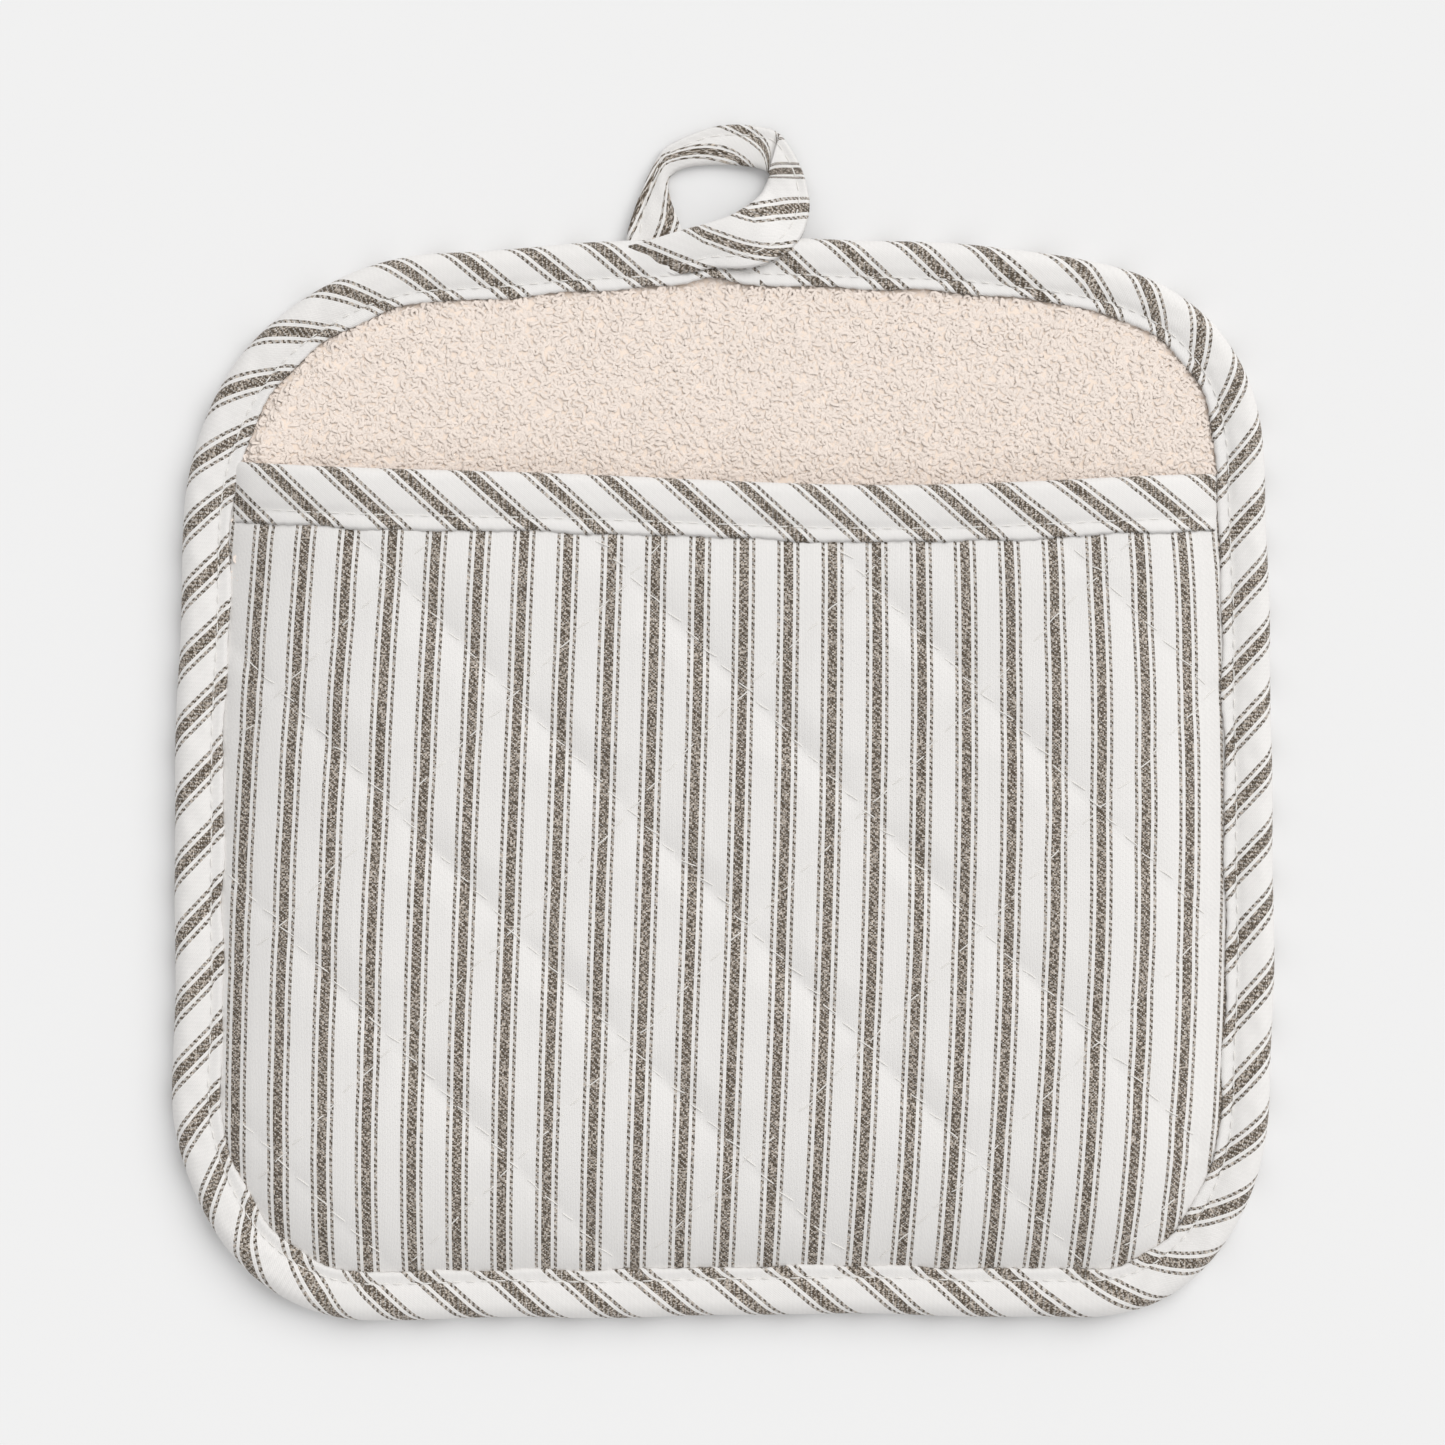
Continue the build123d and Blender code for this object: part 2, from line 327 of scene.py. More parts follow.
class Lattice:
    """A square lattice of points, lined up with the quilting, over part of the panel."""

    def __init__(self, step_count, edge, mouth=None):
        self.step = QUILT_REPEAT / 2 / step_count
        reach = int(114 / self.step) + 1
        x = QUILT_X + self.step * np.arange(-reach + int(18 / self.step), reach + int(18 / self.step))
        y = QUILT_Y + self.step * np.arange(-reach, reach)
        self.x0, self.y0 = x[0], y[0]
        self.shape = (len(x), len(y))
        gx, gy = np.meshgrid(x, y, indexing="ij")
        inset, inward = inset_of(gx, gy)
        px, py = gx.ravel().copy(), gy.ravel().copy()
        keep = inset > edge - 0.7 * self.step
        if mouth is not None:
            keep &= py < mouth_line(px) + mouth + 0.5 * self.step
        keep = keep.reshape(self.shape)
        cells = keep[:-1, :-1] & keep[1:, :-1] & keep[:-1, 1:] & keep[1:, 1:]
        index = np.arange(keep.size).reshape(self.shape)
        i, j = np.nonzero(cells)
        quads = np.stack([index[i, j], index[i + 1, j], index[i + 1, j + 1], index[i, j + 1]], -1)
        used, quads = np.unique(quads, return_inverse=True)
        self.used, self.quads = used, quads.reshape(-1, 4)
        short = edge + 0.5 * self.step - inset
        move = np.where(short > 0, np.minimum(short, self.step), 0)
        px += move * inward[:, 0]
        py += move * inward[:, 1]
        if mouth is not None:
            limit = mouth_line(px) + mouth
            py = np.where(py > limit - 0.5 * self.step, limit, py)
        self.x, self.y = px[used], py[used]
        self.inset = inset_of(self.x, self.y)[0]
        ends = np.zeros(len(used), int)
        np.add.at(ends, self.quads.ravel(), 1)
        self.border = ends < 4

    def field(self, values):
        """Values at the lattice's own points, as a full grid with zeros outside."""
        grid = np.zeros(self.shape[0] * self.shape[1])
        grid[self.used] = values
        return grid.reshape(self.shape)

    def sample(self, grid, x, y):
        """A grid's value at any points, by a smooth cubic through its nodes."""
        fx, fy = (x - self.x0) / self.step, (y - self.y0) / self.step
        ix = np.clip(np.floor(fx).astype(int), 1, self.shape[0] - 3)
        iy = np.clip(np.floor(fy).astype(int), 1, self.shape[1] - 3)
        total = np.zeros(np.shape(x))
        for a, wa in enumerate(cubic_weights(fx - ix)):
            for b, wb in enumerate(cubic_weights(fy - iy)):
                total += wa * wb * grid[ix + a - 1, iy + b - 1]
        return total


def cubic_weights(t):
    t = np.clip(t, 0, 1)
    return (
        0.5 * (-t + 2 * t**2 - t**3),
        0.5 * (2 - 5 * t**2 + 3 * t**3),
        0.5 * (t + 4 * t**2 - 3 * t**3),
        0.5 * (-(t**2) + t**3),
    )


def border_edges(quads):
    """Directed border edges of a quad sheet, for closing two sheets into a slab."""
    edges = np.stack([quads, np.roll(quads, -1, axis=1)], -1).reshape(-1, 2)
    keys = {tuple(e) for e in edges.tolist()}
    return np.array([e for e in edges.tolist() if (e[1], e[0]) not in keys])


def slab(name, lattice, top, bottom, material, cloth=None):
    """A closed layer between two height fields on one lattice."""
    count = len(lattice.x)
    points = np.concatenate(
        [np.stack([lattice.x, lattice.y, top], -1), np.stack([lattice.x, lattice.y, bottom], -1)]
    )
    rim = border_edges(lattice.quads)
    walls = np.stack([rim[:, 1], rim[:, 0], rim[:, 0] + count, rim[:, 1] + count], -1)
    faces = np.concatenate([lattice.quads, lattice.quads[:, ::-1] + count, walls])
    if cloth is None:
        cloth = np.stack([lattice.x, lattice.y], -1)
    uv = np.concatenate([cloth, cloth])[faces].reshape(-1, 2)
    return make_mesh(name, points, faces, material, uv)


def tubes(name, paths, radius, material, sides=6, tips=0.35):
    """Many short round tubes along paths of shape (tubes, points, 3), narrower at their ends."""
    count, steps, _ = paths.shape
    run = np.gradient(paths, axis=1)
    run /= np.linalg.norm(run, axis=2, keepdims=True) + 1e-9
    up = np.broadcast_to(np.array([0.13, 0.21, 0.97]), run.shape)
    side = np.cross(run, up)
    side /= np.linalg.norm(side, axis=2, keepdims=True) + 1e-9
    other = np.cross(side, run)
    turn = 2 * math.pi * np.arange(sides) / sides
    taper = np.ones(steps)
    taper[[0, -1]] = tips
    size = np.broadcast_to(np.asarray(radius, float).reshape(-1, 1), (count, steps)) * taper
    ring = (
        np.cos(turn)[None, None, :, None] * side[:, :, None]
        + np.sin(turn)[None, None, :, None] * other[:, :, None]
    )
    points = paths[:, :, None] + size[:, :, None, None] * ring
    quads, rows, columns = ring_faces(steps, sides, False, True)
    block = np.arange(count)[:, None, None] * steps * sides
    faces = (quads[None] + block).reshape(-1, 4)
    length = np.linspace(0, 1, steps) * np.linalg.norm(np.diff(paths, axis=1), axis=2).sum(1)[:, None]
    along = np.repeat(length[:, :, None], sides, axis=2).reshape(-1)
    around = np.tile(np.arange(sides) / sides, count * steps)
    start = rng.uniform(0, 50, count).repeat(steps * sides)
    uv = np.stack([around, along + start], -1)[faces].reshape(-1, 2)
    caps = block[:, 0] + np.arange(sides)[::-1]
    last = block[:, 0] + (steps - 1) * sides + np.arange(sides)
    return make_mesh(name, points.reshape(-1, 3), faces, material, uv, np.concatenate([caps, last]))


def tape_section(width, gap, count):
    """Folded tape across its width: points (across, up) from one hem round the roll to the other.

    across is 0 at the roll and width at the two folded edges. The last column is the distance
    along the cloth. It is the middle of the cloth's thickness.
    """
    bend = HEM_DROP / 2
    roll = min(gap, width / 3)
    turn = np.linspace(-math.pi / 2, math.pi / 2, 7)[1:-1]
    top = [(width - HEM, gap - HEM_DROP), (width - bend, gap - HEM_DROP)]
    top += [(width - bend + bend * math.cos(a), gap - bend + bend * math.sin(a)) for a in turn]
    top += [(width - bend, gap), (roll, gap)]
    half = np.linspace(math.pi / 2, 0, 9)[1:]
    top += [(roll - roll * math.cos(a), gap * math.sin(a)) for a in half]
    path = np.array(top + [(a, -b) for a, b in top[-2::-1]])
    length = np.concatenate([[0], np.cumsum(np.hypot(*np.diff(path, axis=0).T))])
    even = np.linspace(0, length[-1], count)
    points = np.stack([np.interp(even, length, path[:, k]) for k in (0, 1)], -1)
    return np.column_stack([points, even])


def thick_section(section):
    """A closed loop of (across, up, distance) round a section's cloth thickness."""
    run = np.gradient(section[:, :2], axis=0)
    run /= np.linalg.norm(run, axis=1, keepdims=True)
    normal = np.stack([run[:, 1], -run[:, 0]], -1) * CLOTH / 2
    outer, inner = section.copy(), section.copy()
    outer[:, :2] += normal
    inner[:, :2] -= normal
    return np.concatenate([outer, inner[::-1]])


def sweep_tape(name, stations, section, place, material, closed=False, cloth=None):
    """A folded tape along its stations: place(s, across, up) gives each point.

    cloth(s, across) is the distance along the cloth there; it is s if not given.
    """
    loop = thick_section(section)
    s, across = np.meshgrid(stations, loop[:, 0], indexing="ij")
    up = np.broadcast_to(loop[:, 1], s.shape)
    points = place(s, across, up)
    rows, columns = s.shape
    faces, r, c = ring_faces(rows, columns, closed, True)
    longer = np.append(stations, 2 * stations[-1] - stations[-2])
    corner_s = longer[r[:, None] + np.array([0, 1, 1, 0])]
    corner_c = (c[:, None] + np.array([0, 0, 1, 1])) % columns
    if not closed:
        i = np.arange(columns // 2 - 1)
        end = np.stack([i, i + 1, columns - 2 - i, columns - 1 - i], -1)
        faces = np.concatenate([faces, end[:, ::-1], end + (rows - 1) * columns])
        cut_s = np.repeat(stations[[0, -1]], len(i))[:, None] + np.zeros(4)
        corner_s = np.concatenate([corner_s, cut_s])
        corner_c = np.concatenate([corner_c, end[:, ::-1], end])
    along = corner_s if cloth is None else cloth(corner_s, loop[corner_c, 0])
    around = loop[corner_c, 2]
    u = along * math.sin(BIAS) + around * math.cos(BIAS)
    v = along * math.cos(BIAS) - around * math.sin(BIAS)
    return make_mesh(name, points.reshape(-1, 3), faces, material, np.stack([u, v], -1).reshape(-1, 2))


def stitches_along(name, starts, place, lift=0.12):
    """Stitches that come up out of the cloth and go down again: place(s, height) gives points."""
    t = np.linspace(0, 1, 7)
    height = (lift + STITCH_SINK) * np.sqrt(np.clip(1 - (2 * t - 1) ** 2, 0, 1)) - STITCH_SINK
    s = np.asarray(starts)[:, None] + t * STITCH_LENGTH
    return tubes(name, place(s, np.broadcast_to(height, s.shape)), THREAD, THREAD_CREAM)


def tape_stitches(name, starts, place, across, gap, rise=1.0, lift=0.12, sunk=0.05):
    """The needle's and the bobbin's stitches of a line through both legs of a tape."""
    face = gap + 0.5 * CLOTH

    def over(s, height):
        return place(s, across, face + rise * height)

    def under(s, height):
        points = place(s, across, -face)
        points[..., 2] = np.maximum(points[..., 2] - height - sunk, THREAD + 0.01)
        return points

    top = stitches_along(f"{name}_stitches", starts, over)
    return top, stitches_along(f"{name}_bobbin_stitches", starts, under, lift)


# ---- Materials ----


class Cloth:
    """A cloth material under construction: a node tree with short ways to join nodes."""

    def __init__(self, name, roughness=0.9, sheen=0.12):
        self.material = bpy.data.materials.new(name)
        self.material.use_nodes = True
        self.tree = self.material.node_tree
        self.shader = self.tree.nodes["Principled BSDF"]
        self.shader.inputs["Roughness"].default_value = roughness
        self.shader.inputs["Sheen Weight"].default_value = sheen
        self.shader.inputs["Sheen Roughness"].default_value = 0.5
        self.shader.inputs["Specular IOR Level"].default_value = 0.2

    def node(self, kind, *values, **settings):
        """A new node, with its first inputs joined or set."""
        node = self.tree.nodes.new(kind)
        for key, value in settings.items():
            setattr(node, key, value)
        for value, socket in zip(values, node.inputs):
            self.join(value, socket)
        return node

    def join(self, value, socket):
        if isinstance(value, bpy.types.NodeSocket):
            self.tree.links.new(value, socket)
        else:
            socket.default_value = value

    def math(self, operation, *values):
        return self.node("ShaderNodeMath", *values, operation=operation).outputs[0]

    def times(self, first, second):
        return self.math("MULTIPLY", first, second)

    def cloth_uv(self):
        """Cloth coordinates in metres, as two sockets."""
        uv = self.node("ShaderNodeUVMap", uv_map="cloth").outputs[0]
        return self.node("ShaderNodeSeparateXYZ", uv).outputs[:2]

    def noise(self, scale, vector=None, detail=3.0):
        """Smooth noise from 0 to 1, about 0.5, in the object's own space if no vector is given."""
        vector = self.node("ShaderNodeTexCoord").outputs["Object"] if vector is None else vector
        node = self.node("ShaderNodeTexNoise", vector)
        node.inputs["Scale"].default_value = scale
        node.inputs["Detail"].default_value = detail
        return node.outputs["Fac"]

    def white_noise(self, vector):
        """A random number from 0 to 1 for each different vector."""
        return self.node("ShaderNodeTexWhiteNoise", vector, noise_dimensions="3D").outputs["Value"]

    def combine(self, x, y, z=0.0):
        return self.node("ShaderNodeCombineXYZ", x, y, z).outputs[0]

    def mix(self, factor, first, second):
        node = self.node("ShaderNodeMix", factor, data_type="RGBA")
        self.join(first, node.inputs[6])
        self.join(second, node.inputs[7])
        return node.outputs[2]

    def tone(self, colour, value):
        """A colour made lighter or darker by a number near 1."""
        node = self.node("ShaderNodeVectorMath", colour, operation="SCALE")
        self.join(value, node.inputs["Scale"])
        return node.outputs[0]

    def range(self, value, low, high):
        """0 to 1 spread from low to high."""
        return self.math("MULTIPLY_ADD", value, high - low, low)

    def uneven(self, colour, *ranges):
        """A colour made lighter and darker by several values, each spread from low to high."""
        for value, low, high in ranges:
            colour = self.tone(colour, self.range(value, low, high))
        return colour

    def finish(self, colour, height=None, depth=0.05):
        self.join(colour, self.shader.inputs["Base Color"])
        if height is not None:
            bump = self.node("ShaderNodeBump")
            bump.inputs["Strength"].default_value = 0.6
            bump.inputs["Distance"].default_value = depth * MM
            self.join(height, bump.inputs["Height"])
            self.join(bump.outputs[0], self.shader.inputs["Normal"])
        return self.material


# How far the terry's normals lean upwards, as light that scatters between its loops evens them out
SOFTNESS = 2.2
# Length of one turn of the sewing thread's plies
THREAD_TWIST = 0.55
# Yarns of the ticking: the dark one is spun from DARK_YARN with some PALE_FIBRES in it
WHITE_YARN = (0.83, 0.812, 0.795)
DARK_YARN = (0.095, 0.074, 0.054)
PALE_FIBRES = (0.60, 0.53, 0.46)


def dark_warps(c, warp_index):
    """Masks of a stripe's dark warps: six in its band, then two white ones, then two in its line."""
    middle = c.math("ADD", warp_index, 0.5)
    repeat = c.math("ROUND", c.math("DIVIDE", middle, float(WARPS_PER_STRIPE)))
    place = c.math("ABSOLUTE", c.math("MULTIPLY_ADD", repeat, -float(WARPS_PER_STRIPE), middle))
    band = c.math("LESS_THAN", place, 3.0)
    return band, c.times(c.math("GREATER_THAN", place, 5.0), c.math("LESS_THAN", place, 7.0))


def fibre_mix(c, place, warp_index, pick_index):
    """Colour of the dark yarn, which is spun from dark and pale fibres."""
    fleck = c.white_noise(c.combine(warp_index, pick_index, 5.0))
    mixed = c.math("MULTIPLY_ADD", fleck, 0.5, c.noise(1.0, place, 2.0))
    pale = c.node("ShaderNodeMapRange", mixed, 0.66, 1.06, interpolation_type="SMOOTHSTEP")
    return c.mix(pale.outputs[0], (*DARK_YARN, 1), (*PALE_FIBRES, 1))


def weave_relief(c, weft_over, warp_side, pick_side):
    """Height of the weave: whichever yarn is on top is round across its run."""
    relief = c.node("ShaderNodeMix", weft_over)
    c.join(c.math("MULTIPLY_ADD", c.times(warp_side, warp_side), -4.0, 1.0), relief.inputs[2])
    c.join(c.math("MULTIPLY_ADD", c.times(pick_side, pick_side), -4.0, 0.8), relief.inputs[3])
    return relief.outputs[0]


def ticking_material(name, period):
    """Cotton twill with a dark band between two fine lines, woven three over one."""
    c = Cloth(name)
    u, v = c.cloth_uv()
    warp = c.times(u, WARPS_PER_STRIPE / (period * MM))
    pick = c.times(v, 1 / (PICK * MM))
    warp_index = c.math("FLOOR", warp)
    warp_side = c.math("ABSOLUTE", c.math("SUBTRACT", c.math("SUBTRACT", warp, warp_index), 0.5))
    wave = c.noise(1.0, c.combine(warp_index, c.times(v, 450.0)), 1.0)
    pick = c.math("ADD", pick, c.range(wave, -0.6, 0.6))
    pick_index = c.math("ROUND", pick)
    pick_side = c.math("ABSOLUTE", c.math("SUBTRACT", pick, pick_index))
    turn = c.math("FLOORED_MODULO", c.math("ADD", warp_index, pick_index), 4.0)
    weft_over = c.math("LESS_THAN", turn, 0.5)

    band, line = dark_warps(c, warp_index)

    # The white weft shows where it passes over, most of all in the fine lines
    cell = c.white_noise(c.combine(warp_index, pick_index))
    dot = c.times(c.math("LESS_THAN", pick_side, 0.42), c.math("LESS_THAN", warp_side, 0.46))
    speck = c.times(c.times(weft_over, dot), c.range(cell, 0.1, 0.6))
    gap = c.times(line, c.math("LESS_THAN", turn, 1.5))
    speck = c.math("MAXIMUM", speck, c.times(gap, c.range(cell, 0.3, 0.7)))
    dark = c.times(c.math("MAXIMUM", band, line), c.math("SUBTRACT", 1.0, speck))

    # Yarns differ a little in tone, and each one along its length
    slub = c.noise(1.0, c.combine(warp_index, c.times(v, 700.0)), 2.0)
    yarn = c.white_noise(c.combine(warp_index, 0.0, 3.0))
    tone = c.times(c.range(yarn, 0.985, 1.01), c.range(slub, 0.97, 1.03))
    relief = weave_relief(c, weft_over, warp_side, pick_side)
    # The weave's low sides and the twill's ridges darken the yarn colour: painted shade, on top of the
    # bump
    shade = c.range(relief, 0.95, 1.01)
    twill = c.math("SINE", c.times(c.math("ADD", warp, pick), math.pi / 2))
    shade = c.times(shade, c.math("MULTIPLY_ADD", twill, 0.014, 1.0))
    white = c.tone(WHITE_YARN, c.times(tone, shade))
    heather = fibre_mix(c, c.combine(c.times(u, 3600.0), c.times(v, 2900.0)), warp_index, pick_index)
    ink = c.tone(heather, c.times(c.range(cell, 0.85, 1.15), shade))
    return c.finish(c.mix(dark, white, ink), relief, depth=0.06)


def terry_material(name, colour, scale, painted_sheen=0.0):
    """Soft looped cotton yarn: light scatters between the loops, so their sides are no darker."""
    c = Cloth(name, 1.0, 0.6)
    around = c.times(c.cloth_uv()[0], 2 * math.pi / MM)
    side = c.math("ABSOLUTE", c.math("COSINE", around))
    patch = c.noise(260.0, detail=2.0)
    fibre = c.noise(scale, detail=4.0)
    # The loops' sides are painted lighter and their tops darker by painted_sheen: a painted sheen on their
    # outlines
    shaded = c.uneven(colour, (patch, 0.95, 1.05), (fibre, 0.95, 1.05), (side, 1 - painted_sheen / 2, 1 + painted_sheen / 2))
    material = c.finish(shaded, fibre)
    up = c.node("ShaderNodeVectorTransform", (0, 0, 1), vector_type="NORMAL", convert_from="OBJECT")
    normal = c.shader.inputs["Normal"]
    bumped = normal.links[0].from_socket
    soft = (SOFTNESS, SOFTNESS, SOFTNESS)
    lean = c.node("ShaderNodeVectorMath", up.outputs[0], soft, bumped, operation="MULTIPLY_ADD")
    c.join(c.node("ShaderNodeVectorMath", lean.outputs[0], operation="NORMALIZE").outputs[0], normal)
    return material


def thread_material(name, colour):
    """Spun sewing thread: two plies wound round each other."""
    c = Cloth(name, 0.75, 0.1)
    around, along = c.cloth_uv()
    wind = c.math("MULTIPLY_ADD", around, 2 / MM, c.times(along, 1 / (THREAD_TWIST * MM)))
    ply = c.math("ABSOLUTE", c.math("SINE", c.times(wind, math.pi)))
    fibre = c.noise(9000.0, detail=2.0)
    # The grooves between the plies are painted darker: painted shade
    return c.finish(c.uneven(colour, (ply, 0.88, 1.03), (fibre, 0.94, 1.06)), ply)


def plain_weave_material(name, colour, pitch):
    """Plain cotton: warp and weft in turn over each other."""
    c = Cloth(name)
    u, v = c.cloth_uv()
    sides = [c.math("SINE", c.times(x, math.pi / (pitch * MM))) for x in (u, v)]
    weave = c.times(*sides)
    fibre = c.noise(4000.0, detail=3.0)
    # The weave's tone follows its relief: painted shade where the yarns dip
    return c.finish(c.uneven(colour, (weave, 0.96, 1.02), (fibre, 0.94, 1.05)), weave, depth=0.08)


def wadding_material(name, colour):
    """Needled cotton wadding: tangled fibres and flecks of seed."""
    c = Cloth(name, 1.0, 0.3)
    fibre = c.noise(900.0, detail=8.0)
    fleck = c.math("GREATER_THAN", c.noise(2600.0, detail=1.0), 0.74)
    plain = c.uneven(colour, (fibre, 0.86, 1.12))
    return c.finish(c.mix(c.times(fleck, 0.5), plain, (0.45, 0.33, 0.2, 1)), fibre, depth=0.4)


def floor_material():
    c = Cloth("floor_paper", 0.9, 0.0)
    c.shader.inputs["Specular IOR Level"].default_value = 0.0
    return c.finish(c.uneven((0.855, 0.855, 0.857), (c.noise(40.0, detail=2.0), 0.998, 1.002)))


TICKING = ticking_material("ticking", STRIPE_PERIOD)
TAPE = ticking_material("tape", TAPE_PERIOD)
TERRY_LOOPS = terry_material("terry_loops", (0.95, 0.84, 0.76), 3500.0, painted_sheen=0.14)
# The ground is warmer and darker than the loops: painted shade and warm bounce light in the gaps between
# them
TERRY_CLOTH = terry_material("terry_ground", (0.94, 0.80, 0.69), 1800.0)
THREAD_CREAM = thread_material("thread", (0.85, 0.83, 0.80))
LINING = plain_weave_material("lining", (0.80, 0.78, 0.74), 0.38)
WADDING = wadding_material("wadding", (0.83, 0.80, 0.74))


# ---- Quilting ----

# The simulation's size in Blender's units to the millimetre, its length, and the cloth's stiffness
SIM_SCALE = 0.1
SIM_FRAMES = 18
SIM_CLOTH = {
    "quality": 6,
    "mass": 0.4,
    "tension_stiffness": 25,
    "compression_stiffness": 12,
    "shear_stiffness": 6,
    "bending_stiffness": 1.5,
    "tension_damping": 20,
    "air_damping": 3,
    "vertex_group_mass": "held",
    "use_pressure": True,
}
STITCH_DENT = 0.13


def simulate_puffs(lattice, base, pinned, pressure, slack):
    """How cloth that is held down at its pinned points moves when wadding pushes it up."""
    points = np.stack([lattice.x, lattice.y, base], -1)
    mesh = bpy.data.meshes.new("puffs")
    mesh.from_pydata((points * SIM_SCALE).tolist(), [], lattice.quads.tolist())
    work = add_object("puffs", mesh)
    group = work.vertex_groups.new(name="held")
    group.add(np.nonzero(pinned)[0].tolist(), 1.0, "REPLACE")
    cloth = work.modifiers.new("cloth", "CLOTH")
    settings = cloth.settings
    for name, value in SIM_CLOTH.items():
        setattr(settings, name, value)
    settings.uniform_pressure_force = pressure
    settings.shrink_min = -slack
    settings.effector_weights.gravity = 0
    cloth.collision_settings.use_collision = False
    cloth.point_cache.frame_end = SIM_FRAMES
    scene = bpy.context.scene
    for step in range(1, SIM_FRAMES + 1):
        scene.frame_set(step)
    shown = work.evaluated_get(bpy.context.evaluated_depsgraph_get()).data
    moved = np.empty(len(points) * 3, np.float32)
    shown.vertices.foreach_get("co", moved)
    moved = moved.reshape(-1, 3) / SIM_SCALE - points
    bpy.data.objects.remove(work)
    bpy.data.meshes.remove(mesh)
    scene.frame_set(1)
    return moved


def quilt_field(lattice, base, held, pressure, slack, cap):
    """Puffs of quilted cloth as three fields over a lattice, no further than cap."""
    lines = np.min([gap for gap, _ in quilt_distances(lattice.x, lattice.y)], axis=0)
    pinned = (lines < 0.3 * lattice.step) | held | lattice.border
    moved = simulate_puffs(lattice, base, pinned, pressure, slack)
    size = np.linalg.norm(moved, axis=1, keepdims=True)
    moved = moved * np.minimum(1, cap / np.maximum(size, 1e-6))
    return [lattice.field(moved[:, k]) for k in range(3)]


def stitch_dents(x, y):
    """How deep the quilting thread pulls the cloth in, along each line and at each stitch."""
    total = np.zeros(np.shape(x))
    for gap, along in quilt_distances(x, y):
        total = np.maximum(total, bell(gap, 0.9) * STITCH_DENT * (0.45 + 0.55 * beat(along, QUILT_PITCH)))
    return total


def quilt_stitches(inside, seed):
    """Start points and directions of quilting stitches on both sets of lines, where inside() is true."""
    draw = np.random.default_rng(seed)
    found = []
    for sign in (1, -1):
        for line in range(-6, 7):
            along = np.arange(-170, 170, QUILT_PITCH) + draw.uniform(0, QUILT_PITCH)
            offset = line * QUILT_REPEAT / 2
            x = QUILT_X + offset + along / math.sqrt(2)
            y = QUILT_Y - sign * offset + sign * along / math.sqrt(2)
            drift = 0.35 * np.sin(along / 19 + line * 2.1) + draw.normal(0, 0.1, len(x))
            x = x - drift * sign / math.sqrt(2)
            y = y + drift / math.sqrt(2)
            angle = sign * math.radians(40 if sign > 0 else 34) + draw.normal(0, 0.07, len(x))
            end_x = x + QUILT_STITCH * np.cos(angle)
            end_y = y + QUILT_STITCH * np.sin(angle)
            ok = inside(x, y) & inside(end_x, end_y)
            found.append(np.stack([x, y, angle], -1)[ok])
    return np.concatenate(found)


def stitches_on(name, starts, surface, side=1.0):
    """Quilting stitches lying on a surface given by height(x, y); side -1 is under it."""
    draw = np.random.default_rng(len(starts))
    steps = np.linspace(0, 1, 7)
    length = draw.normal(QUILT_STITCH, 0.3, len(starts))[:, None] * steps
    slack = draw.normal(0, 0.12, len(starts))[:, None] * np.sin(math.pi * steps)
    angle = starts[:, 2:3]
    x = starts[:, 0:1] + length * np.cos(angle) - slack * np.sin(angle)
    y = starts[:, 1:2] + length * np.sin(angle) + slack * np.cos(angle)
    lift = 0.30 * np.sqrt(np.clip(1 - (2 * steps - 1) ** 2, 0, 1)) - 0.20
    z = surface(x.ravel(), y.ravel()).reshape(x.shape) + side * lift
    return tubes(name, np.stack([x, y, z], -1), THREAD, THREAD_CREAM)


# ---- Pocket ----


def pocket_cloth(x, y):
    """Cloth coordinates of the pocket's ticking: its stripes lean, and spread towards the bottom."""
    down = (y + 18) / 78
    shift = 2.75 + 2.3 * down - 0.75 * down**2 - 0.18 * down**3
    width = 8.82 - 0.12 * down - 0.24 * down**2
    return np.stack([(x - shift) / width * STRIPE_PERIOD, y], -1)


def under_mouth_tape(x, y):
    return y > mouth_line(x) - MOUTH_TAPE_WIDTH - 0.4


pocket_sim = Lattice(16, POCKET_SEAM_INSET, mouth=-1.5)
pocket_moves = quilt_field(
    pocket_sim,
    pocket_level(pocket_sim.inset),
    (pocket_sim.inset < POCKET_RISE_INSET + 0.8) | under_mouth_tape(pocket_sim.x, pocket_sim.y),
    pressure=0.4,
    slack=0.002,
    cap=QUILT_PUFF,
)


def pocket_surface(x, y):
    """Height of the pocket ticking's outer face."""
    return pocket_level(inset_of(x, y)[0]) + pocket_sim.sample(pocket_moves[2], x, y) - stitch_dents(x, y)


def lining_surface(x, y):
    """Height of the pocket lining's face towards the hand: it puffs a third as much."""
    swell = pocket_sim.sample(pocket_moves[2], x, y)
    return lining_level(inset_of(x, y)[0]) - 0.35 * swell + 0.6 * stitch_dents(x, y)


def make_pocket_layers():
    fine = Lattice(24, POCKET_SEAM_INSET, mouth=-1.5)
    top = pocket_surface(fine.x, fine.y)
    cloth = pocket_cloth(fine.x, fine.y)
    fine_x, fine_y = fine.x.copy(), fine.y.copy()
    fine.x = fine_x + pocket_sim.sample(pocket_moves[0], fine_x, fine_y)
    fine.y = fine_y + pocket_sim.sample(pocket_moves[1], fine_x, fine_y)
    ticking = slab("pocket_ticking_cloth", fine, top, top - CLOTH, TICKING, cloth)
    coarse = Lattice(14, POCKET_SEAM_INSET, mouth=-1.5)
    low = lining_surface(coarse.x, coarse.y)
    lining = slab("pocket_lining_cloth", coarse, low + 0.3, low, LINING)
    fill = Lattice(14, POCKET_RISE_INSET + 0.8, mouth=-2.5)
    upper = pocket_surface(fill.x, fill.y) - CLOTH - 0.05
    lower = lining_surface(fill.x, fill.y) + 0.35
    wadding = slab("pocket_wadding", fill, np.maximum(upper, lower + 0.05), lower, WADDING)
    return ticking, lining, wadding


